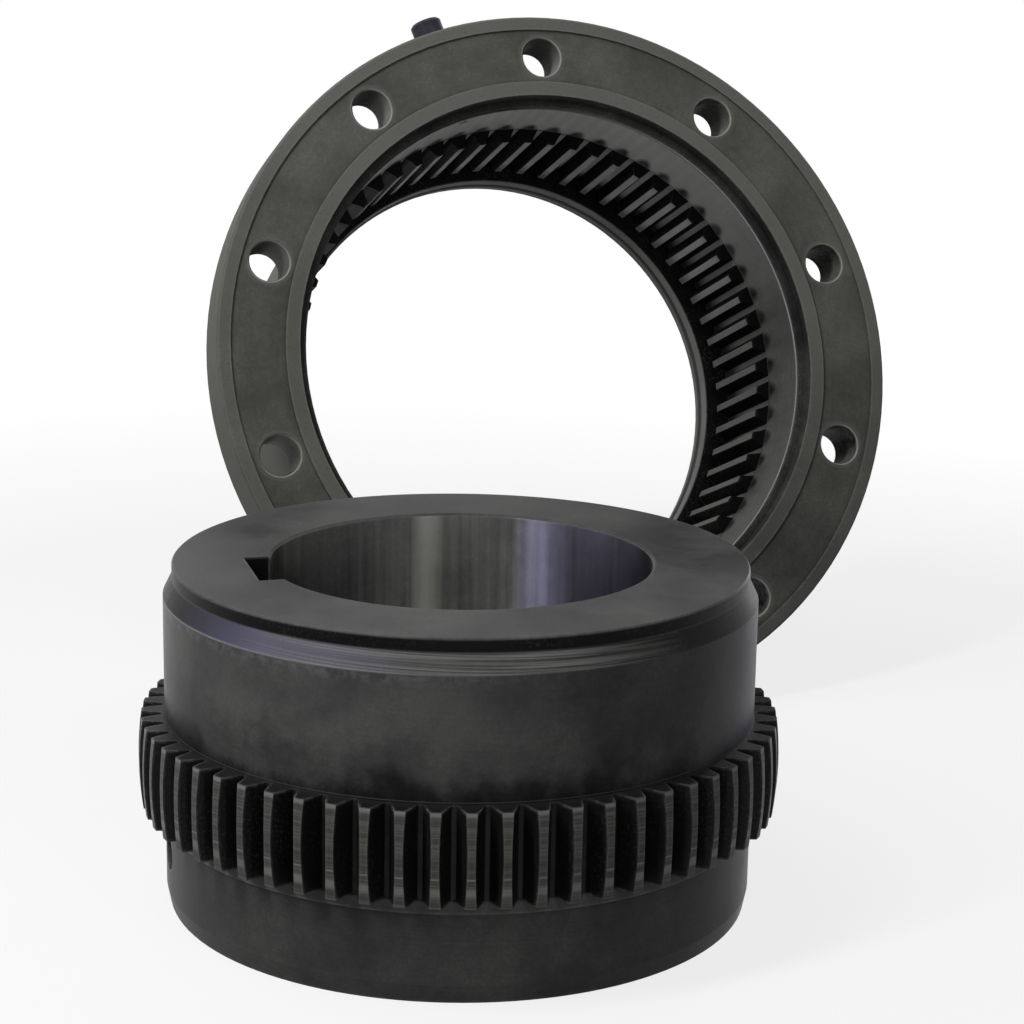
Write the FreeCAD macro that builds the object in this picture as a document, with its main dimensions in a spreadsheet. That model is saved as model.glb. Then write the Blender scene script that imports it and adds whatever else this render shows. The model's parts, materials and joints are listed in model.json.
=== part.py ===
import FreeCAD, Part
import os
import Sketcher

# A gear coupling half, taken apart: the crowned hub stands on its end, and the flanged sleeve
# that belongs round it stands behind, on its flange rim and the end of its barrel.
# Millimetres and degrees. The origin is the centre of the hub's bore at its foot, +Z is up.

document = FreeCAD.newDocument("gear_coupling")
sheet = document.addObject("Spreadsheet::Sheet", "Sizes")

SIZES = {
    # the tooth system that the hub and the sleeve share, measured from its pitch circle
    "tooth_count": 62,
    "gear_module": 4,
    "pressure_angle": 25,
    "hub_addendum": 2.8,
    "hub_dedendum": 6.3,
    "hub_thinning": 0.68,
    "sleeve_addendum": 3.2,
    "sleeve_dedendum": 3.5,
    "sleeve_thinning": 0.08,
    # the hub, from its bore outwards
    "bore_dia": 150,
    "bore_chamfer": 1,
    "key_width": 36,
    "key_depth": 8.4,
    "hub_length": 136,
    "barrel_step": 1.2,
    "cone_depth": 3.5,
    "cone_height": 7,
    "nose_height": 5.5,
    "nose_edge": 0.6,
    "foot_taper": 1.4,
    "foot_height": 7,
    # the hub's gear, whose tips lie on a ball about the hub's axis
    "gear_start": 40,
    "gear_width": 36,
    "collar_rise": 0.3,
    "collar_below": 5,
    "hub_tooth_turn": 2.1,
    # the tapped hole over the key
    "screw_hole_dia": 14,
    "screw_height": 23.5,
    # the sleeve, from its teeth's roots outwards: the barrel, the bolt circle and the flange's rim
    "barrel_wall": 9.5,
    "bolt_offset": 15.4,
    "bolt_margin": 20.6,
    "flange_width": 28,
    "flange_chamfer": 1,
    "rim_land": 6.7,
    "recess_depth": 1,
    "mouth_land": 7.1,
    "register_step": 5.1,
    "register_depth": 8,
    "mouth_chamfer": 1.1,
    "bolt_count": 10,
    "bolt_hole_dia": 19.5,
    "bolt_hole_chamfer": 0.8,
    # the sleeve's barrel and its inner steps, from the mouth to the lip
    "barrel_fillet": 5,
    "end_chamfer": 1.5,
    "tooth_start": 43,
    "tooth_length": 55.5,
    "tooth_end_edge": 0.8,
    "throat_step": 0.3,
    "sleeve_tooth_turn": 0.3,
    "relief_depth": 1,
    "relief_width": 7.2,
    "land_width": 6.6,
    "running_gap": 0.7,
    "lip_width": 2.6,
    # the seal ring, whose inner edge presses on the hub's barrel when the two are together
    "seal_section": 5.3,
    "seal_squeeze": 0.2,
    "seal_side_gap": 0.55,
    "seal_seat_gap": 0.1,
    # the lubrication plugs in the flange's rim
    "plug_count": 2,
    "plug_head_dia": 15.6,
    "plug_head_height": 8.8,
    "plug_head_edge": 1.2,
    "plug_thread_dia": 13.2,
    "plug_thread_length": 12,
    "plug_thread_gap": 0.05,
    "plug_hole_spare": 3,
    "plug_socket": 6,
    "plug_socket_depth": 5,
    "passage_dia": 5,
    # how the two pieces stand
    "key_turn": -165.4,
    "sleeve_x": 49,
    "sleeve_y": 267.4,
    "sleeve_turn": 17.3,
    "sleeve_spin": 16.2,
    "running_over": 2,
}

for row, (alias, value) in enumerate(SIZES.items(), start=1):
    sheet.set(f"A{row}", alias)
    sheet.set(f"B{row}", str(value))
    sheet.setAlias(f"B{row}", alias)
document.recompute()


def size(text):
    """The value of an expression in the sheet's aliases, written without the sheet's name."""
    return float(sheet.evalExpression(text))


def bound(text):
    """The same expression as a sketch or a feature of another object reads it."""
    for alias in sorted(SIZES, key=len, reverse=True):
        text = text.replace(alias, "@" + str(list(SIZES).index(alias)) + "@")
    for index, alias in enumerate(SIZES):
        text = text.replace("@" + str(index) + "@", "Sizes." + alias)
    return text


def plane(body, role):
    """One of a body's own three origin planes or axes."""
    for feature in body.Origin.OriginFeatures:
        if feature.Role == role:
            return feature
    raise ValueError(role)


def new_body(label):
    """An empty body whose label names the exported file."""
    body = document.addObject("PartDesign::Body", label)
    body.Label = label
    return body


def new_sketch(body, name, role, height="0", turn="0"):
    """A sketch on one of the body's planes, lifted and turned by two expressions."""
    sketch = body.newObject("Sketcher::SketchObject", name)
    sketch.AttachmentSupport = [(plane(body, role), "")]
    sketch.MapMode = "FlatFace"
    spin = FreeCAD.Rotation(FreeCAD.Vector(0, 0, 1), size(turn))
    sketch.AttachmentOffset = FreeCAD.Placement(FreeCAD.Vector(0, 0, size(height)), spin)
    sketch.setExpression("AttachmentOffset.Base.z", bound(height))
    return sketch


def pin(sketch, edge, end, x_text, y_text):
    """Tie one end of an edge to two sizes, across and up from the sketch's origin."""
    for kind, text in (("DistanceX", x_text), ("DistanceY", y_text)):
        number = sketch.addConstraint(Sketcher.Constraint(kind, -1, 1, edge, end, size(text)))
        sketch.setExpression(f"Constraints[{number}]", bound(text))


def arc_between(start, stop, radius, side):
    """The short arc from start to stop whose centre lies on the given side of the chord."""
    chord = stop - start
    across = FreeCAD.Vector(-chord.y, chord.x, 0).normalize()
    reach = (radius ** 2 - (chord.Length / 2) ** 2) ** 0.5
    centre = (start + stop) / 2 + across * reach * side
    middle = centre + ((start + stop) / 2 - centre).normalize() * radius
    return Part.Arc(start, middle, stop)


def outline(sketch, corners, mirrored=False):
    """A closed outline through corners, each an (across, up) pair of expressions.

    A third entry (radius, side) makes the edge that leaves the corner an arc.
    """
    points = [FreeCAD.Vector(size(c[0]), size(c[1]), 0) for c in corners]
    count = len(points)
    edges = []
    for index, corner in enumerate(corners):
        start, stop = points[index], points[(index + 1) % count]
        if len(corner) > 2:
            radius_text, side = corner[2]
            curve = arc_between(start, stop, size(radius_text), side)
            edges.append(sketch.addGeometry(curve, False))
        else:
            edges.append(sketch.addGeometry(Part.LineSegment(start, stop), False))
    ends = []
    for index, edge in enumerate(edges):
        first = sketch.getPoint(edge, 1)
        straight = first.distanceToPoint(points[index]) < 1e-6
        ends.append((1, 2) if straight else (2, 1))
    for index, edge in enumerate(edges):
        following = (index + 1) % count
        joint = Sketcher.Constraint("Coincident", edge, ends[index][1], edges[following], ends[following][0])
        sketch.addConstraint(joint)
        pin(sketch, edge, ends[index][0], corners[index][0], corners[index][1])
        if len(corners[index]) > 2:
            radius_text = corners[index][2][0]
            number = sketch.addConstraint(Sketcher.Constraint("Radius", edge, size(radius_text)))
            sketch.setExpression(f"Constraints[{number}]", bound(radius_text))


def centre_line(sketch, start, stop):
    """A construction line that a section in the same sketch turns about."""
    ends = [FreeCAD.Vector(size(x), size(y), 0) for x, y in (start, stop)]
    line = sketch.addGeometry(Part.LineSegment(*ends), True)
    pin(sketch, line, 1, *start)
    pin(sketch, line, 2, *stop)


def turned(body, name, kind, sketch, axis="V_Axis"):
    """A full turn of a sketch about an axis of its own: a Revolution or a Groove."""
    feature = body.newObject(f"PartDesign::{kind}", name)
    feature.Profile = sketch
    feature.ReferenceAxis = (sketch, [axis])
    feature.Angle = 360
    document.recompute()
    return feature


def pocket(body, name, sketch, length):
    """A cut from the sketch along its own normal."""
    feature = body.newObject("PartDesign::Pocket", name)
    feature.Profile = sketch
    feature.Type = 0
    feature.Length = size(length)
    feature.setExpression("Length", bound(length))
    feature.Reversed = True
    document.recompute()
    return feature


def ring_of(body, name, feature, count):
    """Copies of a feature, evenly round the body's Z axis."""
    pattern = body.newObject("PartDesign::PolarPattern", name)
    pattern.Originals = [feature]
    pattern.Axis = (plane(body, "Z_Axis"), [""])
    pattern.Angle = 360
    pattern.Occurrences = int(size(count))
    pattern.setExpression("Occurrences", bound(count))
    body.Tip = pattern
    document.recompute()
    return pattern


PITCH_RADIUS = "(gear_module * tooth_count / 2)"
BASE_RADIUS = f"({PITCH_RADIUS} * cos(pressure_angle))"
HUB_TIP = f"({PITCH_RADIUS} + hub_addendum)"
HUB_ROOT = f"({PITCH_RADIUS} - hub_dedendum)"
HUB_BARREL = f"({HUB_ROOT} - barrel_step)"
SLEEVE_TIP = f"({PITCH_RADIUS} - sleeve_addendum)"
SLEEVE_ROOT = f"({PITCH_RADIUS} + sleeve_dedendum)"
SLEEVE_BARREL = f"({SLEEVE_ROOT} + barrel_wall)"
BOLT_CIRCLE = f"({SLEEVE_BARREL} + bolt_offset)"
FLANGE = f"({BOLT_CIRCLE} + bolt_margin)"
END_BORE = f"({HUB_BARREL} + running_gap)"


def involute(angle):
    """The involute function of an expression for an angle, as a plain number."""
    return f"(tan({angle}) - ({angle}) / 1 rad)"


def half_tooth(thinning, radius, sign):
    """Half the angle that a tooth takes up at a radius; sign is 1 outside and -1 inside a ring."""
    here = f"acos({BASE_RADIUS} / {radius})"
    at_pitch = f"(pi * gear_module / 2 - {thinning}) / (2 * {PITCH_RADIUS})"
    lean = f"({involute('pressure_angle * 1 deg')} - {involute(here)})"
    return f"(({at_pitch} + {sign} * {lean}) * 1 rad)"


def gap_corners(thinning, sign, floor, mouth, beyond):
    """The outline of one gap between two teeth, about the sketch's X axis.

    Its flanks run from the floor through the pitch circle to the mouth, and past it by beyond.
    """
    half_pitch = "(180 deg / tooth_count)"
    upper = []
    for radius in (floor, PITCH_RADIUS, mouth):
        angle = f"({half_pitch} - {half_tooth(thinning, radius, sign)})"
        upper.append((f"{radius} * cos({angle})", f"{radius} * sin({angle})"))
    past = (f"{upper[-1][0]} + {beyond}", upper[-1][1])
    upper.append(past)
    lower = [(x, f"-({y})") for x, y in reversed(upper)]
    return upper + lower


def make_hub():
    """The hub: one turned blank, then the gear gaps, the keyway and the tapped hole."""
    body = new_body("hub")
    bore = "bore_dia / 2"
    bore_mouth = "bore_dia / 2 + bore_chamfer"
    barrel = HUB_BARREL
    nose = f"{barrel} - cone_depth"
    collar = f"{HUB_ROOT} + collar_rise"
    gear_end = "gear_start + gear_width"
    tip_end = f"({HUB_TIP}^2 - (gear_width / 2)^2)^0.5"
    section = new_sketch(body, "hub_section", "XZ_Plane")
    outline(section, [
        (bore, "0"),
        (f"{barrel} - foot_taper", "0"),
        (barrel, "foot_height"),
        (barrel, "gear_start - collar_below"),
        (collar, "gear_start - collar_below"),
        (collar, "gear_start"),
        (tip_end, "gear_start", (HUB_TIP, 1)),
        (tip_end, gear_end),
        (barrel, gear_end),
        (barrel, "hub_length - nose_height - cone_height"),
        (nose, "hub_length - nose_height"),
        (nose, "hub_length - nose_edge"),
        (f"{nose} - nose_edge", "hub_length"),
        (bore_mouth, "hub_length"),
        (bore, "hub_length - bore_chamfer"),
    ])
    turned(body, "hub_blank", "Revolution", section)

    gap = new_sketch(body, "hub_gap", "XY_Plane", "gear_start", "hub_tooth_turn + 180 / tooth_count")
    outline(gap, gap_corners("hub_thinning", 1, HUB_ROOT, HUB_TIP, "running_over"))
    one_gap = pocket(body, "one_hub_gap", gap, "gear_width")
    ring_of(body, "hub_teeth", one_gap, "tooth_count")

    key = new_sketch(body, "keyway_outline", "XY_Plane")
    inner, outer, side = "bore_dia / 4", "bore_dia / 2 + key_depth", "key_width / 2"
    outline(key, [(inner, f"-({side})"), (outer, f"-({side})"), (outer, side), (inner, side)])
    pocket(body, "keyway", key, "hub_length")

    hole = new_sketch(body, "screw_hole_section", "XZ_Plane")
    start, stop = "bore_dia / 2", f"{HUB_BARREL} + running_over"
    top = "screw_height + screw_hole_dia / 2"
    outline(hole, [(start, "screw_height"), (stop, "screw_height"), (stop, top), (start, top)])
    centre_line(hole, (start, "screw_height"), (stop, "screw_height"))
    body.Tip = turned(body, "screw_hole", "Groove", hole, "Axis0")
    return body


def make_sleeve():
    """The flanged sleeve, its lip end at z = 0 and its bolted face at the top."""
    body = new_body("flanged_sleeve")
    length = SLEEVE_LENGTH
    groove = "(seal_section + 2 * seal_side_gap)"
    groove_floor = f"{SEAL_RADIUS} + seal_section / 2 + seal_seat_gap"
    land = f"lip_width + {groove}"
    relief = f"{land} + land_width"
    teeth = f"{relief} + relief_width"
    register = f"{length} - register_depth"
    end_bore, root, barrel, flange = END_BORE, SLEEVE_ROOT, SLEEVE_BARREL, FLANGE
    throat, mouth = f"{root} + throat_step", f"{root} + register_step"
    back = f"{length} - flange_width"
    section = new_sketch(body, "sleeve_section", "XZ_Plane")
    outline(section, [
        (end_bore, "0"),
        (f"{barrel} - end_chamfer", "0"),
        (barrel, "end_chamfer"),
        (barrel, f"{back} - barrel_fillet", ("barrel_fillet", -1)),
        (f"{barrel} + barrel_fillet", back),
        (f"{flange} - flange_chamfer", back),
        (flange, f"{back} + flange_chamfer"),
        (flange, f"{length} - flange_chamfer"),
        (f"{flange} - flange_chamfer", length),
        (f"{flange} - rim_land", length),
        (f"{flange} - rim_land", f"{length} - recess_depth"),
        (f"{mouth} + mouth_land", f"{length} - recess_depth"),
        (f"{mouth} + mouth_land", length),
        (mouth, length),
        (mouth, register),
        (f"{throat} + mouth_chamfer", register),
        (throat, f"{register} - mouth_chamfer"),
        (throat, f"{length} - tooth_start"),
        (f"{SLEEVE_TIP} + tooth_end_edge", f"{length} - tooth_start"),
        (SLEEVE_TIP, f"{length} - tooth_start - tooth_end_edge"),
        (SLEEVE_TIP, teeth),
        (f"{root} + relief_depth", teeth),
        (f"{root} + relief_depth", relief),
        (end_bore, relief),
        (end_bore, land),
        (groove_floor, land),
        (groove_floor, "lip_width"),
        (end_bore, "lip_width"),
    ])
    turned(body, "sleeve_blank", "Revolution", section)

    gap = new_sketch(body, "sleeve_gap", "XY_Plane", teeth, "sleeve_tooth_turn + 180 / tooth_count")
    outline(gap, gap_corners("sleeve_thinning", -1, SLEEVE_ROOT, SLEEVE_TIP, "-running_over"))
    one_gap = pocket(body, "one_sleeve_gap", gap, "tooth_length")
    ring_of(body, "sleeve_teeth", one_gap, "tooth_count")

    hole = new_sketch(body, "bolt_hole_section", "XZ_Plane")
    middle, wide = BOLT_CIRCLE, "bolt_hole_dia / 2 + bolt_hole_chamfer"
    narrow = "bolt_hole_dia / 2"
    face = f"{length} - recess_depth"
    outline(hole, [
        (middle, f"{back} - running_over"),
        (f"{middle} + {wide}", f"{back} - running_over"),
        (f"{middle} + {wide}", back),
        (f"{middle} + {narrow}", f"{back} + bolt_hole_chamfer"),
        (f"{middle} + {narrow}", f"{face} - bolt_hole_chamfer"),
        (f"{middle} + {wide}", face),
        (f"{middle} + {wide}", f"{face} + running_over"),
        (middle, f"{face} + running_over"),
    ])
    centre_line(hole, (middle, "0"), (middle, length))
    one_hole = turned(body, "one_bolt_hole", "Groove", hole, "Axis0")
    ring_of(body, "bolt_holes", one_hole, "bolt_count")

    lube = new_sketch(body, "lube_hole_section", "YZ_Plane")
    tapped = "plug_thread_dia / 2 + plug_thread_gap"
    step = f"{flange} - plug_thread_length - plug_hole_spare"
    start, stop = f"{root} - running_over", f"{flange} + running_over"
    outline(lube, [
        (start, PLUG_HEIGHT),
        (stop, PLUG_HEIGHT),
        (stop, f"{PLUG_HEIGHT} + {tapped}"),
        (step, f"{PLUG_HEIGHT} + {tapped}"),
        (step, f"{PLUG_HEIGHT} + passage_dia / 2"),
        (start, f"{PLUG_HEIGHT} + passage_dia / 2"),
    ])
    centre_line(lube, (start, PLUG_HEIGHT), (stop, PLUG_HEIGHT))
    one_lube_hole = turned(body, "one_lube_hole", "Groove", lube, "Axis0")
    ring_of(body, "lube_holes", one_lube_hole, "plug_count")
    return body


def make_seal_ring():
    """The rubber ring that lies in the groove behind the sleeve's lip."""
    ring = document.addObject("Part::Torus", "seal_ring")
    ring.Label = "seal_ring"
    ring.setExpression("Radius1", bound(SEAL_RADIUS))
    ring.setExpression("Radius2", bound("seal_section / 2"))
    document.recompute()
    return ring


def make_lube_plug(label):
    """A headed lubrication plug, its head's seat at z = 0 and its shank pointing down."""
    body = new_body(label)
    head, shank = "plug_head_dia / 2", "plug_thread_dia / 2"
    section = new_sketch(body, label + "_section", "XZ_Plane")
    outline(section, [
        ("0", "-(plug_thread_length)"),
        (f"{shank} - plug_head_edge", "-(plug_thread_length)"),
        (shank, "-(plug_thread_length) + plug_head_edge"),
        (shank, "0"),
        (head, "0"),
        (head, "plug_head_height - plug_head_edge"),
        (f"{head} - plug_head_edge", "plug_head_height"),
        ("0", "plug_head_height"),
    ])
    turned(body, label + "_blank", "Revolution", section)
    socket = new_sketch(body, label + "_socket_outline", "XY_Plane", "plug_head_height - plug_socket_depth")
    across = "plug_socket / 3^0.5"
    outline(socket, [(f"{across} * cos({turn})", f"{across} * sin({turn})") for turn in range(0, 360, 60)])
    body.Tip = pocket(body, label + "_socket", socket, "plug_socket_depth")
    return body


SLEEVE_LENGTH = ("(tooth_start + tooth_length + relief_width + land_width"
                 " + seal_section + 2 * seal_side_gap + lip_width)")
SEAL_RADIUS = f"({HUB_BARREL} - seal_squeeze + seal_section / 2)"
PLUG_HEIGHT = f"({SLEEVE_LENGTH} - flange_width / 2)"

# The sleeve leans so far back that its flange's rim and its barrel's end both touch the floor.
RIM_STATION = f"({SLEEVE_LENGTH} - flange_width + flange_chamfer)"
LEAN = f"atan(({FLANGE} - {SLEEVE_BARREL}) / ({RIM_STATION} - end_chamfer))"


def sleeve_placement():
    """The sleeve's own frame, with its lip end at z = 0, as it stands on the floor."""
    lean = FreeCAD.Rotation(FreeCAD.Vector(1, 0, 0), 90 - size(LEAN))
    turn = FreeCAD.Rotation(FreeCAD.Vector(0, 0, 1), size("sleeve_turn"))
    spin = FreeCAD.Rotation(FreeCAD.Vector(0, 0, 1), size("sleeve_spin"))
    axis = turn.multVec(lean.multVec(FreeCAD.Vector(0, 0, 1)))
    height = size(f"{FLANGE} * cos({LEAN}) - {RIM_STATION} * sin({LEAN})")
    reach = axis * size(SLEEVE_LENGTH)
    foot = FreeCAD.Vector(size("sleeve_x") - reach.x, size("sleeve_y") - reach.y, height)
    return FreeCAD.Placement(foot, turn * lean * spin)


def along(x, y, z, rotation=FreeCAD.Rotation()):
    """A placement inside the sleeve's own frame."""
    return FreeCAD.Placement(FreeCAD.Vector(x, y, z), rotation)


hub = make_hub()
hub.Placement = FreeCAD.Placement(FreeCAD.Vector(0, 0, 0), FreeCAD.Rotation(FreeCAD.Vector(0, 0, 1), size("key_turn")))

standing = sleeve_placement()
sleeve = make_sleeve()
sleeve.Placement = standing

seal_ring = make_seal_ring()
seal_ring.Placement = standing * along(0, 0, size("lip_width + seal_side_gap + seal_section / 2"))

pieces = [hub, sleeve, seal_ring]
for number in range(int(size("plug_count"))):
    plug = make_lube_plug(f"lube_plug_{number + 1}")
    round_the_rim = FreeCAD.Rotation(FreeCAD.Vector(0, 0, 1), 90 + number * 360 / size("plug_count"))
    outward = FreeCAD.Rotation(FreeCAD.Vector(0, 1, 0), 90)
    seat = round_the_rim.multVec(FreeCAD.Vector(size(FLANGE), 0, 0))
    plug.Placement = standing * along(seat.x, seat.y, size(PLUG_HEIGHT), round_the_rim * outward)
    pieces.append(plug)

document.recompute()

for item in document.Objects:
    if "Invalid" in item.State or "Error" in item.State:
        raise RuntimeError(f"{item.Name} failed: {item.State}")
for piece in pieces:
    if piece.Shape.isNull() or not piece.Shape.isValid() or len(piece.Shape.Solids) != 1:
        raise RuntimeError(f"{piece.Label} is not one valid solid")

os.makedirs("parts", exist_ok=True)
for piece in pieces:
    piece.Shape.exportStep(f"parts/{piece.Label}.step")
    box = piece.Shape.BoundBox
    print(f"{piece.Label}: {piece.Shape.Volume / 1000:.1f} cm3, z {box.ZMin:.2f} to {box.ZMax:.2f}")
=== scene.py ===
import json
import math
from types import SimpleNamespace

import bpy
from mathutils import Matrix, Vector


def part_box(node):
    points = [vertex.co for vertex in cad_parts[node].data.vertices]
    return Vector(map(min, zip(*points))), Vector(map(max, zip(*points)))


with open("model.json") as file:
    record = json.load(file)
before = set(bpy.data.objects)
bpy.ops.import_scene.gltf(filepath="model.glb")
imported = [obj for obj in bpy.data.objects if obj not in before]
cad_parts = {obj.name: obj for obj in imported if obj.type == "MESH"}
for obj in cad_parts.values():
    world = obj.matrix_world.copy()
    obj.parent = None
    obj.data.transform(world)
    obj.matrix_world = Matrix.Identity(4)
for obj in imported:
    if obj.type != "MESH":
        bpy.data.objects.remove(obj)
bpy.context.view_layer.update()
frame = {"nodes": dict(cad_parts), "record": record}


def srgb(code):
    """A colour written as an sRGB hex code, turned to the linear numbers that shaders use."""
    channels = [int(code[i:i + 2], 16) / 255 for i in (1, 3, 5)]
    linear = [c / 12.92 if c <= 0.04045 else ((c + 0.055) / 1.055) ** 2.4 for c in channels]
    return (*linear, 1.0)


def add(tree, kind, inputs=None, **settings):
    """Add a node, set its properties, and set or link its inputs by name or number.

    A map range's inputs are 0 for the value, 1 and 2 for the range that it comes from, and 3 and 4 for
    the range that it goes to. A range that is left out is 0 to 1. A mix's 2 and 3 are its two numbers.
    """
    node = tree.nodes.new(kind)
    for name, value in settings.items():
        setattr(node, name, value)
    for key, value in (inputs or {}).items():
        if isinstance(value, bpy.types.NodeSocket):
            tree.links.new(value, node.inputs[key])
        else:
            node.inputs[key].default_value = value
    return node


def empty_tree(holder):
    """Give a material or a world a node tree with nothing in it."""
    holder.use_nodes = True
    holder.node_tree.nodes.clear()
    return holder.node_tree


def mount(name):
    """A mount's place and direction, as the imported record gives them."""
    for entry in frame["record"]["mounts"]:
        if entry["name"] == name:
            return Vector(entry["pos_m"]), Vector(entry["axis"])
    raise ValueError(name)


def middle(node):
    """The middle of a node's box at rest."""
    low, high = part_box(node)
    return (Vector(low) + Vector(high)) / 2


# Each turned piece is described from a foot on its axis: heights along the axis, radii from it, and
# a clock direction that angles are counted from. The sleeve's clock points at its upper plug.
hub_piece = SimpleNamespace(foot=Vector((0, 0, 0)), axis=Vector((0, 0, 1)), clock=mount("set_screw")[1])
sleeve_foot, sleeve_axis = mount("flange_bolts")
plug_offset = middle("lube_plug_1") - sleeve_foot
plug_way = (plug_offset - sleeve_axis * plug_offset.dot(sleeve_axis)).normalized()
sleeve_piece = SimpleNamespace(foot=sleeve_foot, axis=sleeve_axis, clock=plug_way)

# The teeth and bolt holes as they were cut. The sleeve's tints take its first gap between teeth to be
# 0.3 degrees round from its clock, which is right to 0.1 degrees. The bolt circle is given by its
# radius in metres.
TEETH = 62
FIRST_GAP = 0.3
BOLTS = 10
BOLT_CIRCLE = 0.1524

# The sides that tints face, as they look to someone in front of the object.
FRONT = Vector((0, -1, 0))
FRONT_LEFT = Vector((-0.72, -0.69, 0))
LEFT = Vector((-1, 0, 0))
RIGHT = Vector((1, 0, 0))
RIGHT_OF_FRONT = Vector((0.8, -0.6, 0))
FAR_RIGHT = Vector((0.97, -0.24, 0))
RIGHT_OF_BACK = Vector((0.80, 0.60, 0))
BACK_RIGHT = Vector((0.45, 0.89, 0))
BACK = Vector((-0.20, 0.98, 0))
UP = Vector((0, 0.36, 0.93))
LOWER_RIGHT = Vector((0.74, -0.05, -0.67))

# How fine the finish is, in metres.
CLOUD = 0.030
BLOTCH = 0.004
SPECK = 0.0011
FEED_RING = 0.0008
STAIN_WANDER = 0.007
RUBBER_BLOOM = 0.006
ZONE_EDGE = 0.0002
WORN_EDGE = 0.0012
# the reach of the painted shade in inside corners
CORNER_SHADE_REACH = 0.0025
EDGE_ROUNDING = 0.0005

# How many streaks there are to a radian round the axis, and to a metre along it.
STREAKS_PER_RADIAN = 25.0
STREAKS_PER_METRE = 8.0


def zone(tint, heights, radii, strength=1.0, soft=0.0004, faces="all", side=None, every=None, hole=None,
         grain="clouds", last=False):
    """A part of a turned piece with a tint of its own, in metres.

    faces are all, lands that face away from the axis or towards it, or flanks that don't.
    side is a direction, with the cosines where the tint starts and is full.
    every is a count of even marks round the axis, with the angle of the first one in degrees.
    hole is the nearest and furthest distance from the axis of a bolt hole.
    grain is what breaks the tint up: clouds, rings, blotches, ragged for a stain's uneven edge, or
    even for nothing. A last tint lies over the worn edges too.
    """
    return SimpleNamespace(tint=tint, heights=heights, radii=radii, strength=strength, soft=soft,
                           faces=faces, side=side, every=every, hole=hole, grain=grain, last=last)


def band(tree, value, low, high, soft):
    """One between low and high, and none beyond, with a soft edge."""
    above = add(tree, "ShaderNodeMapRange", {0: value, 1: low - soft, 2: low + soft}).outputs[0]
    below = add(tree, "ShaderNodeMapRange", {0: value, 1: high + soft, 2: high - soft}).outputs[0]
    return add(tree, "ShaderNodeMath", {0: above, 1: below}, operation="MULTIPLY").outputs[0]


def layer(tree, colour, tint, masks):
    """A colour with a tint laid over it, as far as all the masks let it through."""
    where = masks[0]
    for mask in masks[1:]:
        where = add(tree, "ShaderNodeMath", {0: where, 1: mask}, operation="MULTIPLY").outputs[0]
    mixed = add(tree, "ShaderNodeMix", {"Factor": where, "A": colour, "B": srgb(tint)}, data_type="RGBA")
    return mixed.outputs["Result"]


def lathe_places(tree, piece):
    """Where each point of a turned piece lies and faces, as sockets for the rest of the finish."""
    place = add(tree, "ShaderNodeTexCoord").outputs["Object"]
    offset = add(tree, "ShaderNodeVectorMath", {0: place, 1: piece.foot}, operation="SUBTRACT").outputs[0]
    height = add(tree, "ShaderNodeVectorMath", {0: offset, 1: piece.axis}, operation="DOT_PRODUCT")
    height = height.outputs["Value"]
    rise = add(tree, "ShaderNodeVectorMath", {0: piece.axis, "Scale": height}, operation="SCALE").outputs[0]
    spoke = add(tree, "ShaderNodeVectorMath", {0: offset, 1: rise}, operation="SUBTRACT").outputs[0]
    radius = add(tree, "ShaderNodeVectorMath", {0: spoke}, operation="LENGTH").outputs["Value"]
    outward = add(tree, "ShaderNodeVectorMath", {0: spoke}, operation="NORMALIZE").outputs[0]

    # The angle round the axis, from the clock direction.
    aside = piece.axis.cross(piece.clock)
    forward = add(tree, "ShaderNodeVectorMath", {0: spoke, 1: piece.clock}, operation="DOT_PRODUCT")
    sideways = add(tree, "ShaderNodeVectorMath", {0: spoke, 1: aside}, operation="DOT_PRODUCT")
    turn = add(tree, "ShaderNodeMath", {0: sideways.outputs["Value"], 1: forward.outputs["Value"]},
               operation="ARCTAN2").outputs[0]

    # The way the face looks: lands look along a spoke, and the lathe's feed ran round the axis.
    normal = add(tree, "ShaderNodeNewGeometry").outputs["Normal"]
    around = add(tree, "ShaderNodeVectorMath", {0: piece.axis, 1: spoke}, operation="CROSS_PRODUCT")
    across_feed = add(tree, "ShaderNodeVectorMath", {0: around.outputs[0], 1: normal},
                      operation="CROSS_PRODUCT").outputs[0]
    faced = add(tree, "ShaderNodeVectorMath", {0: outward, 1: normal}, operation="DOT_PRODUCT")
    faced = add(tree, "ShaderNodeMath", {0: faced.outputs["Value"]}, operation="ABSOLUTE").outputs[0]
    land = add(tree, "ShaderNodeMapRange", {0: faced, 1: 0.86, 2: 0.93}).outputs[0]
    flank = add(tree, "ShaderNodeMath", {0: 1.0, 1: land}, operation="SUBTRACT").outputs[0]

    # The distance from the nearest bolt hole's axis, by folding every hole onto the first one.
    pitch = 2 * math.pi / BOLTS
    folded = add(tree, "ShaderNodeMath", {0: turn, 1: pitch}, operation="FLOORED_MODULO").outputs[0]
    folded = add(tree, "ShaderNodeMath", {0: folded, 1: pitch / 2}, operation="SUBTRACT").outputs[0]
    beside = add(tree, "ShaderNodeMath", {0: folded, 1: BOLT_CIRCLE}, operation="MULTIPLY").outputs[0]
    beyond = add(tree, "ShaderNodeMath", {0: radius, 1: BOLT_CIRCLE}, operation="SUBTRACT").outputs[0]
    from_hole = add(tree, "ShaderNodeCombineXYZ", {"X": beside, "Y": beyond}).outputs[0]
    from_hole = add(tree, "ShaderNodeVectorMath", {0: from_hole}, operation="LENGTH").outputs["Value"]

    return SimpleNamespace(place=place, height=height, radius=radius, outward=outward, turn=turn,
                           across_feed=across_feed, land=land, flank=flank, from_hole=from_hole)


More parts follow.
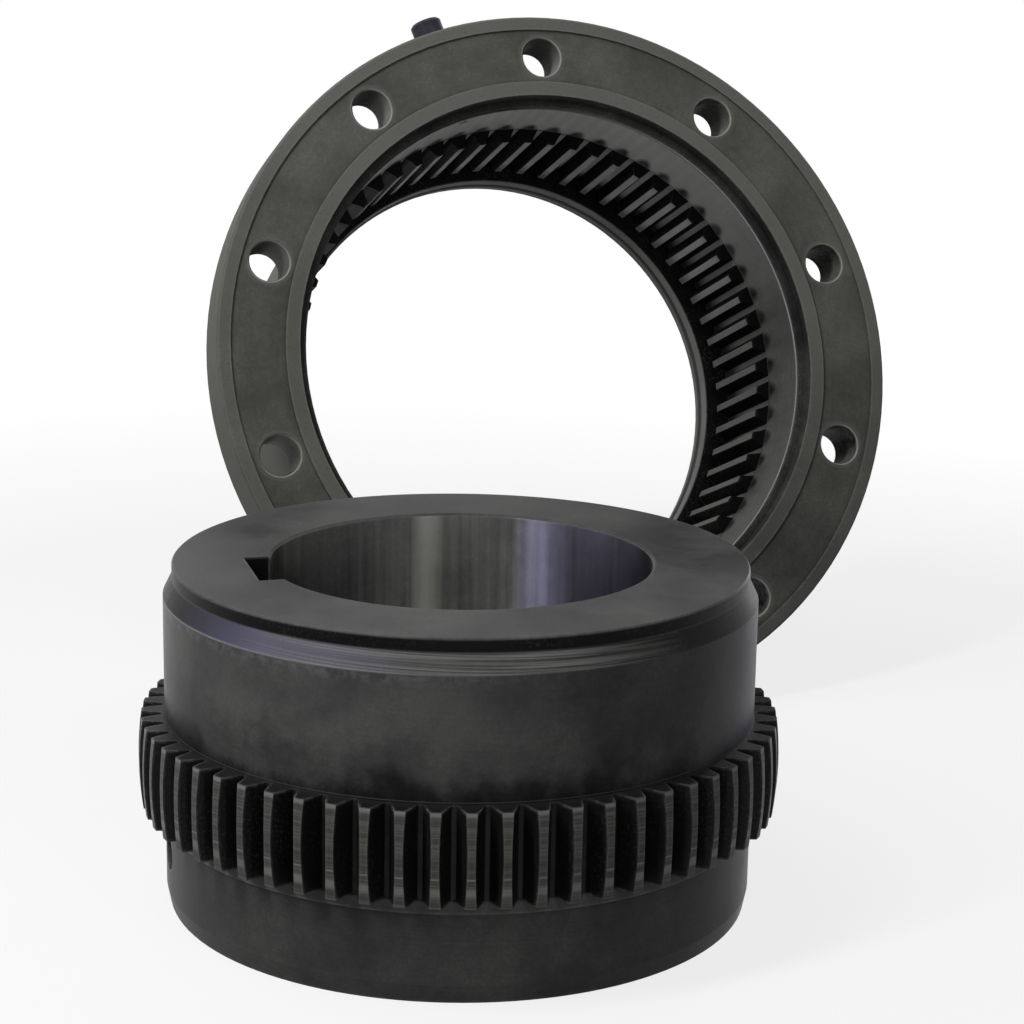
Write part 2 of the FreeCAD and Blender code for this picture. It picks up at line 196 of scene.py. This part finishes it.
def oxide_patterns(tree, at, streaks):
    """The patterns that break up the black oxide, as sockets for the rest of the finish."""
    # Clouds 30 mm across where the oil dried unevenly, with 4 mm blotches and 1 mm specks in them.
    clouds = add(tree, "ShaderNodeTexNoise", {
        "Vector": at.place, "Scale": 1 / CLOUD, "Detail": 4.0, "Roughness": 0.55}).outputs[0]
    blotches = add(tree, "ShaderNodeTexNoise", {
        "Vector": at.place, "Scale": 1 / BLOTCH, "Detail": 4.0, "Roughness": 0.65}).outputs[0]
    specks = add(tree, "ShaderNodeTexNoise", {
        "Vector": at.place, "Scale": 1 / SPECK, "Detail": 2.0}).outputs[0]
    cloudy = add(tree, "ShaderNodeMapRange", {0: clouds, 1: 0.36, 2: 0.64}).outputs[0]
    blotchy = add(tree, "ShaderNodeMapRange", {0: blotches, 1: 0.36, 2: 0.64}).outputs[0]
    mottle = add(tree, "ShaderNodeMix", {"Factor": 0.3, 2: cloudy, 3: blotchy}).outputs[0]

    # Feed rings: real ones are 0.2 mm apart, drawn here at 0.8 mm so that they show.
    section = add(tree, "ShaderNodeCombineXYZ", {"X": at.height, "Y": at.radius}).outputs[0]
    drift = add(tree, "ShaderNodeVectorMath", {0: at.place, "Scale": 0.02}, operation="SCALE").outputs[0]
    lathe = add(tree, "ShaderNodeVectorMath", {0: section, 1: drift}, operation="ADD").outputs[0]
    rings = add(tree, "ShaderNodeTexNoise", {
        "Vector": lathe, "Scale": 1 / FEED_RING, "Detail": 3.0}).outputs[0]
    ringed = add(tree, "ShaderNodeMapRange", {0: rings, 1: 0.3, 2: 0.7}).outputs[0]
    mottle = add(tree, "ShaderNodeMix", {"Factor": 0.14, 2: mottle, 3: ringed}).outputs[0]

    # Streaks along the axis, 3 mm wide in the bore, where the cleaning fluid ran down.
    across = add(tree, "ShaderNodeMath", {0: at.turn, 1: STREAKS_PER_RADIAN}, operation="MULTIPLY")
    along = add(tree, "ShaderNodeMath", {0: at.height, 1: STREAKS_PER_METRE}, operation="MULTIPLY")
    unrolled = add(tree, "ShaderNodeCombineXYZ", {
        "X": across.outputs[0], "Y": along.outputs[0]}).outputs[0]
    runs = add(tree, "ShaderNodeTexNoise", {"Vector": unrolled, "Scale": 1.0, "Detail": 3.0}).outputs[0]
    runs = add(tree, "ShaderNodeMapRange", {0: runs, 1: 0.3, 2: 0.7}).outputs[0]
    mottle = add(tree, "ShaderNodeMix", {"Factor": streaks, 2: mottle, 3: runs}).outputs[0]

    # A stain's edge wanders up and down with the clouds.
    wander = add(tree, "ShaderNodeMapRange", {0: cloudy, 3: -STAIN_WANDER, 4: STAIN_WANDER}).outputs[0]
    stain_height = add(tree, "ShaderNodeMath", {0: at.height, 1: wander}, operation="ADD").outputs[0]

    # What breaks a zone's tint up: a pattern, its own range, and the shares of the tint at its ends.
    grains = {"clouds": (mottle, 0.0, 1.0, 1.0, 0.6), "ragged": (mottle, 0.0, 1.0, 1.0, 0.6),
              "rings": (rings, 0.42, 0.62, 0.0, 1.0), "blotches": (blotches, 0.44, 0.60, 0.0, 1.0)}
    return SimpleNamespace(blotches=blotches, specks=specks, cloudy=cloudy, blotchy=blotchy, rings=rings,
                           mottle=mottle, stain_height=stain_height, grains=grains)


def drops(tree, part, at):
    """Even marks round the axis, each one widest at the zone's low height and closed at its high one."""
    count, first = part.every
    low, high = part.heights
    start = math.radians(first)
    wave = add(tree, "ShaderNodeMath", {0: at.turn, 1: start}, operation="SUBTRACT").outputs[0]
    wave = add(tree, "ShaderNodeMath", {0: wave, 1: count}, operation="MULTIPLY").outputs[0]
    wave = add(tree, "ShaderNodeMath", {0: wave}, operation="COSINE").outputs[0]
    waist = add(tree, "ShaderNodeMapRange", {0: at.height, 1: low, 2: high, 4: 1.4}).outputs[0]
    waist = add(tree, "ShaderNodeMath", {0: waist, 1: waist}, operation="MULTIPLY").outputs[0]
    drop = add(tree, "ShaderNodeMath", {0: wave, 1: waist}, operation="SUBTRACT").outputs[0]
    return add(tree, "ShaderNodeMapRange", {0: drop, 1: -0.9, 2: 0.5}).outputs[0]


def zone_masks(tree, part, at, oxide):
    """The masks that together say how much of a zone's tint each point gets."""
    height = oxide.stain_height if part.grain == "ragged" else at.height
    masks = [band(tree, height, *part.heights, part.soft), band(tree, at.radius, *part.radii, ZONE_EDGE)]
    if part.grain == "even":
        masks.append(part.strength)
    else:
        pattern, low, high, start, full = oxide.grains[part.grain]
        patchy = {0: pattern, 1: low, 2: high, 3: start * part.strength, 4: full * part.strength}
        masks.append(add(tree, "ShaderNodeMapRange", patchy).outputs[0])
    if part.faces != "all":
        masks.append(at.land if part.faces == "lands" else at.flank)
    if part.side:
        way, start, full = part.side
        lean = add(tree, "ShaderNodeVectorMath", {0: at.outward, 1: way}, operation="DOT_PRODUCT")
        lean = lean.outputs["Value"]
        masks.append(add(tree, "ShaderNodeMapRange", {0: lean, 1: start, 2: full}).outputs[0])
    if part.every:
        masks.append(drops(tree, part, at))
    if part.hole:
        masks.append(band(tree, at.from_hole, *part.hole, ZONE_EDGE))
    return masks


def turned_steel(name, piece, dark, light, rough, comb, zones=(), metallic=0.0, marks=0.5, streaks=0.0):
    """Carbon steel turned on a lathe and blackened in a hot oxide bath, then oiled.

    The oxide is a thin satin skin, almost black, cloudy where the oil dried, and rubbed through to
    grey metal along the sharp edges. The tool's feed leaves fine rings round the axis, which draw
    the highlights out across them, and handling leaves light flecks.
    """
    material = bpy.data.materials.new(name)
    tree = empty_tree(material)
    at = lathe_places(tree, piece)
    oxide = oxide_patterns(tree, at, streaks)
    skin = {"Factor": oxide.mottle, "A": srgb(dark), "B": srgb(light)}
    colour = add(tree, "ShaderNodeMix", skin, data_type="RGBA").outputs["Result"]
    for part in zones:
        if not part.last:
            colour = layer(tree, colour, part.tint, zone_masks(tree, part, at, oxide))

    # Light specks and dark pits of about 1 mm, in patches.
    fleck = add(tree, "ShaderNodeMapRange", {0: oxide.specks, 1: 0.52, 2: 0.75, 4: 0.5 * marks}).outputs[0]
    colour = layer(tree, colour, "#8c8d8a", [fleck, oxide.cloudy])
    pit = add(tree, "ShaderNodeMapRange", {0: oxide.specks, 1: 0.48, 2: 0.28, 4: 0.5 * marks}).outputs[0]
    colour = layer(tree, colour, "#1a1a1b", [pit, oxide.blotchy])

    # Sharp outside edges, where rays sent into the metal come out at once, are rubbed to bare steel.
    core = add(tree, "ShaderNodeAmbientOcclusion", {"Distance": WORN_EDGE}, samples=1, inside=True,
               only_local=True)
    edge = add(tree, "ShaderNodeMapRange", {0: core.outputs["AO"], 1: 0.78, 2: 0.35}).outputs[0]
    rubbed = add(tree, "ShaderNodeMapRange", {0: oxide.blotchy, 3: 0.3, 4: 0.8}).outputs[0]
    colour = layer(tree, colour, "#a2a3a0", [edge, rubbed])

    # Inside corners are darkened where little light reaches them, as painted shade.
    nook = add(tree, "ShaderNodeAmbientOcclusion", {"Distance": CORNER_SHADE_REACH}, samples=1, only_local=True)
    corner_shade = add(tree, "ShaderNodeMapRange", {0: nook.outputs["AO"], 1: 0.8, 2: 0.35, 4: 0.75}).outputs[0]
    colour = layer(tree, colour, "#111112", [corner_shade])
    for part in zones:
        if part.last:
            colour = layer(tree, colour, part.tint, zone_masks(tree, part, at, oxide))

    gloss = add(tree, "ShaderNodeMapRange", {0: oxide.mottle, 3: rough - 0.07, 4: rough + 0.09}).outputs[0]
    rounded = add(tree, "ShaderNodeBevel", {"Radius": EDGE_ROUNDING}, samples=1).outputs[0]
    ringed = add(tree, "ShaderNodeBump", {
        "Height": oxide.rings, "Strength": 0.12, "Distance": 0.00005, "Normal": rounded}).outputs[0]
    grained = add(tree, "ShaderNodeBump", {
        "Height": oxide.blotches, "Strength": 0.2, "Distance": 0.0001, "Normal": ringed}).outputs[0]
    shader = add(tree, "ShaderNodeBsdfPrincipled", {
        "Base Color": colour, "Metallic": metallic, "Roughness": gloss,
        "Specular IOR Level": 0.06, "Anisotropic": comb, "Normal": grained, "Tangent": at.across_feed})
    add(tree, "ShaderNodeOutputMaterial", {"Surface": shader.outputs[0]})
    return material


def nitrile_rubber():
    """Moulded nitrile rubber, matt and near black, with a faint bloom in 6 mm patches."""
    material = bpy.data.materials.new("moulded_nitrile_rubber")
    tree = empty_tree(material)
    place = add(tree, "ShaderNodeTexCoord").outputs["Object"]
    bloom = add(tree, "ShaderNodeTexNoise", {"Vector": place, "Scale": 1 / RUBBER_BLOOM, "Detail": 4.0})
    colour = layer(tree, srgb("#0c0c0d"), "#1a1a1b", [bloom.outputs[0]])
    shader = add(tree, "ShaderNodeBsdfPrincipled", {"Base Color": colour, "Roughness": 0.55})
    add(tree, "ShaderNodeOutputMaterial", {"Surface": shader.outputs[0]})
    return material


# The hub's bands: heights from its foot, and how far they reach from its axis.
TOP_FACE, TOP_REACH = (0.1355, 0.1365), (0.0750, 0.1128)
NOSE_STEP, NOSE_REACH = (0.1308, 0.1354), (0.1126, 0.1135)
CONE, CONE_REACH = (0.1234, 0.1306), (0.1100, 0.1180)
BARREL, BARREL_REACH = (0.0700, 0.1234), (0.1160, 0.1175)
GEAR, GEAR_FLOOR, GEAR_TIPS = (0.0395, 0.0765), (0.1170, 0.1190), (0.1215, 0.1300)
FOOT, FOOT_REACH = (0.0000, 0.0400), (0.1140, 0.1175)
KEYWAY, KEYWAY_REACH = (0.0000, 0.1353), (0.0757, 0.0850)
EVERYWHERE = (-1.0, 1.0)
BORE_REACH = (0.0740, 0.0840)
BORE_EDGE = 0.0758

HUB_ZONES = [
    # the top face, with painted shade at its right and left sides
    zone("#262627", TOP_FACE, TOP_REACH, 0.6, side=(RIGHT, 0.0, 1.0)),
    zone("#343435", TOP_FACE, TOP_REACH, 0.6, side=(LEFT, 0.4, 1.0)),
    # the step under the nose in painted shade, then the cone: a painted violet sheen at its front left,
    # painted shade at its left and right, painted light on its front broken by fine rings, and a painted
    # highlight along its lower edge
    zone("#0b0b0c", NOSE_STEP, NOSE_REACH, grain="even"),
    zone("#6b697f", CONE, CONE_REACH, side=(FRONT_LEFT, 0.78, 0.96)),
    zone("#0c0c0f", CONE, CONE_REACH, side=(LEFT, 0.62, 0.93), grain="even"),
    zone("#0c0c0e", CONE, CONE_REACH, side=(RIGHT, 0.1, 0.8), grain="even"),
    zone("#a0a09c", CONE, CONE_REACH, 0.5, side=(FRONT, 0.7, 0.95), grain="rings"),
    zone("#c3c3c5", (0.1232, 0.1236), (0.1155, 0.1175), 0.7, 0.0003, side=(FRONT_LEFT, 0.5, 0.95)),
    zone("#7b7b7e", (0.1200, 0.1232), BARREL_REACH, 0.6, 0.0016, side=(FRONT_LEFT, 0.3, 0.9),
         grain="blotches"),
    # dried oil over the gear
    zone("#1a1a1b", (0.0600, 0.0840), BARREL_REACH, 0.9, 0.0060, grain="ragged"),
    zone("#0c0c0d", (0.0600, 0.0790), BARREL_REACH, 0.7, 0.0040, grain="ragged"),
    zone("#232324", (0.0840, 0.0990), BARREL_REACH, 0.7, 0.0070, side=(FRONT_LEFT, 0.5, 1.0),
         grain="ragged"),
    # painted shade on the barrel's right side with a painted violet sheen at its edge, the rubbed line at
    # its foot, and
    #     # the part below, darker, with painted shade on its right
    zone("#232327", BARREL, BARREL_REACH, 0.6, side=(RIGHT_OF_FRONT, 0.6, 1.0)),
    zone("#77777a", (0.0764, 0.0767), (0.1160, 0.1182), 0.8, 0.0002),
    zone("#55536a", BARREL, BARREL_REACH, 0.5, side=(FAR_RIGHT, 0.94, 0.99)),
    zone("#303031", FOOT, FOOT_REACH, 0.5),
    zone("#2a2a2b", FOOT, FOOT_REACH, 0.6, side=(RIGHT, 0.3, 1.0)),
    # the gear: painted shade on the flanks and in the gaps, rubbed tips with the marks of the mating teeth
    # across
    #     # them, and last the painted shade over their upper ends, and painted shade that fills the keyway
    #     black
    zone("#161617", (0.0385, 0.0770), (0.1181, 0.1300), 0.98, faces="flanks", grain="even"),
    zone("#1b1b1c", GEAR, GEAR_FLOOR, 0.9),
    zone("#50514e", GEAR, GEAR_TIPS, faces="lands", grain="even"),
    zone("#93948f", GEAR, GEAR_TIPS, 0.3, faces="lands", grain="rings"),
    zone("#a8a9a5", (0.0448, 0.0480), GEAR_TIPS, 0.6, 0.0006, "lands"),
    zone("#3a3a39", (0.0560, 0.0564), GEAR_TIPS, 0.8, 0.0002, "lands"),
    zone("#a8a9a5", (0.0512, 0.0518), GEAR_TIPS, 0.7, 0.0002, "lands"),
    zone("#a8a9a5", (0.0745, 0.0760), GEAR_TIPS, 0.6, 0.0005, "lands"),
    zone("#212122", (0.0745, 0.0775), (0.1170, 0.1212), 0.7, grain="even", last=True),
    zone("#101010", KEYWAY, KEYWAY_REACH, grain="even", last=True),
]

BORE_ZONES = [
    # a painted violet sheen on the right, brightest in a painted highlight streak, a pale painted highlight
    # streak
    #     # beside it, and painted shade on the left
    zone("#6b697f", EVERYWHERE, BORE_REACH, 0.9, side=(RIGHT_OF_BACK, 0.84, 0.95)),
    zone("#807e9a", EVERYWHERE, BORE_REACH, 0.8, side=(BACK_RIGHT, 0.980, 0.999)),
    zone("#8e8f88", EVERYWHERE, BORE_REACH, 0.8, side=(BACK, 0.996, 0.9998)),
    zone("#3f3f3a", EVERYWHERE, BORE_REACH, 0.6, side=(LEFT, 0.35, 0.75)),
]

# The sleeve's bands: heights from the bolts' mount on its face, and how far they reach from its axis.
FACE_LANDS, OUTER_LAND, INNER_LAND = (0.0012, 0.0024), (0.1663, 0.1730), (0.1326, 0.1397)
FACE, FACE_REACH = (0.0000, 0.0030), (0.1290, 0.1735)
FLANGE, FLANGE_REACH = (-0.0300, 0.0030), (0.1290, 0.1740)
CHAMFER_REACH = (0.1276, 0.1291)
THROAT, THROAT_REACH = (-0.0412, -0.0074), (0.1276, 0.1284)
GAP_FLOOR = (0.1268, 0.12765)
HOLE_WALL, HOLE_CHAMFER, HOLE_HALO = (0.0, 0.0098), (0.0099, 0.0106), (0.0106, 0.0122)

SLEEVE_ZONES = [
    # the two raised lands of the face, rubbed where the other half sits, and painted shade on the face's
    # lower
    #     # right and on the flange's left
    zone("#8b8c86", FACE_LANDS, OUTER_LAND, 0.6),
    zone("#8b8c86", FACE_LANDS, INNER_LAND, 0.6),
    zone("#333433", FACE, FACE_REACH, 0.6, side=(LOWER_RIGHT, 0.6, 1.0)),
    zone("#333430", FLANGE, FLANGE_REACH, 0.4, side=(LEFT, 0.75, 1.0)),
    # the register's wall, its shoulder and the chamfer inside them, darker, with a painted highlight along
    # the
    #     # chamfer on the right
    zone("#141319", (-0.0060, 0.0010), (0.1322, 0.1330), 0.95, 0.0003),
    zone("#1f1f21", (-0.0068, -0.0056), (0.1290, 0.1325), 0.9, 0.0003),
    zone("#232325", (-0.0074, -0.0061), CHAMFER_REACH, 0.9, 0.0002),
    zone("#d8d8dc", (-0.0070, -0.0066), CHAMFER_REACH, 0.8, 0.0002, side=(RIGHT, -0.2, 0.6)),
    # the gear: painted shade, near black, on the flanks and in the gaps and on the steps deep behind the
    # teeth, and
    #     # the rubbed lip
    zone("#0a0a0b", (-0.1040, -0.0395), (0.1200, 0.1277), faces="flanks", grain="even"),
    zone("#080808", (-0.0967, -0.0414), (0.1268, 0.1290), grain="even"),
    zone("#0c0c0c", (-0.1200, -0.0967), (0.1176, 0.1290), 1.0, 0.0010, grain="even"),
    zone("#a5a5a3", (-0.1200, -0.1039), (0.1165, 0.1176), 0.8),
    # the throat's wall, with a near-white painted reflection on its upper part and painted shade on its
    # right, and a
    #     # painted highlight along the line where the teeth start
    zone("#f2f2f0", THROAT, THROAT_REACH, 0.95, side=(UP, 0.3, 1.0), grain="even"),
    zone("#3a3a3b", THROAT, THROAT_REACH, 0.8, side=(RIGHT, 0.3, 1.0)),
    zone("#8a8a8c", (-0.0413, -0.0411), THROAT_REACH, 0.8, 0.0001),
    # painted shade: a dark drop on the wall in front of every tooth, and on the tooth's end
    zone("#030303", (-0.0411, -0.0315), THROAT_REACH, 1.0, 0.0002, every=(TEETH, FIRST_GAP + 180 / TEETH),
         grain="even", last=True),
    zone("#040404", (-0.0418, -0.0404), (0.1209, 0.1276), 1.0, 0.0002, "flanks", grain="even", last=True),
    # the gaps' floors with painted light near their mouth, and the teeth's tips with a painted highlight,
    # palest at
    #     # the top of the ring
    zone("#747472", (-0.0800, -0.0412), GAP_FLOOR, 0.9, 0.0080, "lands", grain="even", last=True),
    zone("#ececea", (-0.0860, -0.0412), (0.1200, 0.12765), 0.9, 0.0060, "lands", (UP, 0.2, 1.0), last=True),
    # the bolt holes: walls painted near black as shade, with lighter blotches for painted reflections and
    #     # scratches, a lighter chamfer and a lighter halo
    zone("#121212", FLANGE, EVERYWHERE, hole=HOLE_WALL, grain="even"),
    zone("#8a8b88", FLANGE, EVERYWHERE, 0.35, hole=HOLE_WALL, grain="blotches"),
    zone("#b3b4af", FLANGE, EVERYWHERE, 0.9, hole=HOLE_CHAMFER),
    zone("#7c7d78", FLANGE, EVERYWHERE, 0.4, hole=HOLE_HALO),
]

hub_steel = turned_steel("blackened_turned_steel_hub", hub_piece, "#4b4b4c", "#666664", 0.42, 0.7,
                         HUB_ZONES, marks=0.25)
bore_steel = turned_steel("blackened_bored_steel", hub_piece, "#565655", "#70706e", 0.34, 0.95,
                          BORE_ZONES, metallic=1.0, marks=0.3, streaks=0.45)
sleeve_steel = turned_steel("blackened_turned_steel_sleeve", sleeve_piece, "#585954", "#787972", 0.45, 0.7,
                            SLEEVE_ZONES)
plug_steel = turned_steel("blackened_steel_screw", sleeve_piece, "#2c2b33", "#52505f", 0.35, 0.3)
rubber = nitrile_rubber()

finishes = {"hub": (hub_steel, bore_steel), "flanged_sleeve": (sleeve_steel,), "seal_ring": (rubber,),
            "lube_plug_1": (plug_steel,), "lube_plug_2": (plug_steel,)}
for node, slots in finishes.items():
    mesh = frame["nodes"][node].data
    mesh.materials.clear()
    for finish in slots:
        mesh.materials.append(finish)

# The bore and its keyway were cut in another set-up than the outside, with a finer feed.
hub_mesh = frame["nodes"]["hub"].data
for face in hub_mesh.polygons:
    reach = max(math.hypot(*hub_mesh.vertices[v].co[:2]) for v in face.vertices)
    face.material_index = 1 if reach < BORE_EDGE else 0

# The studio: a white floor, a white surround and soft lamps.
OBJECT_MIDDLE = (0.0, 0.15, 0.0)
LAMP_AIM = Vector((0.0, 0.1, 0.1))
FLOOR_REACH = 6
scene = bpy.context.scene


def on_show(tree):
    """One for the rays that show the surround: the camera's, and those by way of metal or glass."""
    ray = add(tree, "ShaderNodeLightPath").outputs
    seen = add(tree, "ShaderNodeMath", {0: ray["Is Camera Ray"], 1: ray["Is Transmission Ray"]},
               operation="ADD").outputs[0]
    return add(tree, "ShaderNodeMath", {0: ray["Is Glossy Ray"], 1: seen}, operation="ADD").outputs[0]


def white_surround():
    """A world that is white to look at and lights the object only faintly."""
    world = bpy.data.worlds.new("white_surround")
    tree = empty_tree(world)
    level = add(tree, "ShaderNodeMapRange", {0: on_show(tree), 3: 0.03, 4: 1.0}).outputs[0]
    sky = add(tree, "ShaderNodeBackground", {"Color": (1, 1, 1, 1), "Strength": level})
    add(tree, "ShaderNodeOutputWorld", {"Surface": sky.outputs[0]})
    return world


def white_paper():
    """Matt paper, white to look at away from the object, and grey enough there to hold its shadow."""
    material = bpy.data.materials.new("white_paper_floor")
    tree = empty_tree(material)
    place = add(tree, "ShaderNodeTexCoord").outputs["Object"]
    away = add(tree, "ShaderNodeVectorMath", {0: place, 1: OBJECT_MIDDLE}, operation="DISTANCE")
    fade = add(tree, "ShaderNodeMapRange", {0: away.outputs["Value"], 1: 0.45, 2: 1.1, 3: 0.8, 4: 1.0})
    fade = fade.outputs[0]
    glow = add(tree, "ShaderNodeMath", {0: on_show(tree), 1: fade}, operation="MULTIPLY").outputs[0]
    shader = add(tree, "ShaderNodeBsdfPrincipled", {
        "Base Color": (0.22, 0.22, 0.22, 1), "Roughness": 1.0, "Specular IOR Level": 0.0,
        "Emission Color": (1, 1, 1, 1), "Emission Strength": glow})
    add(tree, "ShaderNodeOutputMaterial", {"Surface": shader.outputs[0]})
    return material


def lamp(name, azimuth, elevation, distance, wide, tall, power):
    """A soft rectangular lamp, placed by its direction from the object and turned to face it."""
    light = bpy.data.lights.new(name, "AREA")
    light.shape = "RECTANGLE"
    light.size, light.size_y, light.energy = wide, tall, power
    holder = bpy.data.objects.new(name, light)
    scene.collection.objects.link(holder)
    turn, lift = math.radians(azimuth), math.radians(elevation)
    away = Vector((math.cos(turn) * math.cos(lift), math.sin(turn) * math.cos(lift), math.sin(lift)))
    holder.location = LAMP_AIM + away * distance
    holder.rotation_euler = away.to_track_quat("Z", "Y").to_euler()


def photo_camera():
    """The photograph's viewpoint, found from the rims and tooth pitches that it shows."""
    place, pitch, yaw, roll = Vector((0.00024, -0.9542, 0.3812)), 13.35, 1.15, -0.99
    pitch, yaw, roll = (math.radians(angle) for angle in (pitch, yaw, roll))
    ahead = Vector((math.sin(yaw) * math.cos(pitch), math.cos(yaw) * math.cos(pitch), -math.sin(pitch)))
    right = Vector((math.cos(yaw), -math.sin(yaw), 0.0))
    down = ahead.cross(right)
    image_right = right * math.cos(roll) + down * math.sin(roll)
    image_down = down * math.cos(roll) - right * math.sin(roll)
    lens = bpy.data.cameras.new("photo_camera")
    lens.sensor_width, lens.lens = 36.0, 88.25
    lens.clip_start, lens.clip_end = 0.01, 50.0
    camera = bpy.data.objects.new("photo_camera", lens)
    axes = Matrix((image_right, -image_down, -ahead)).transposed()
    camera.matrix_world = Matrix.Translation(place) @ axes.to_4x4()
    scene.collection.objects.link(camera)
    scene.camera = camera


scene.world = white_surround()
corners = [(x * FLOOR_REACH, y * FLOOR_REACH, 0) for x, y in ((-1, -1), (1, -1), (1, 1), (-1, 1))]
floor_mesh = bpy.data.meshes.new("studio_floor")
floor_mesh.from_pydata(corners, [], [(0, 1, 2, 3)])
floor_mesh.materials.append(white_paper())
floor = bpy.data.objects.new("studio_floor", floor_mesh)
scene.collection.objects.link(floor)

lamp("key_front_left", -140, 48, 1.15, 0.12, 0.9, 5.8)
lamp("overhead_left", 165, 66, 1.2, 0.9, 0.9, 3.2)
lamp("fill_left", 178, 12, 1.3, 0.6, 0.8, 0.6)
lamp("fill_front_low", -90, 4, 1.3, 0.8, 0.3, 1.5)
lamp("strip_back_right", 57, 22, 1.5, 0.09, 1.2, 2.7)
lamp("strip_front_right", -66, 42, 1.5, 0.05, 1.0, 1.7)
photo_camera()
scene.view_settings.view_transform = "Standard"
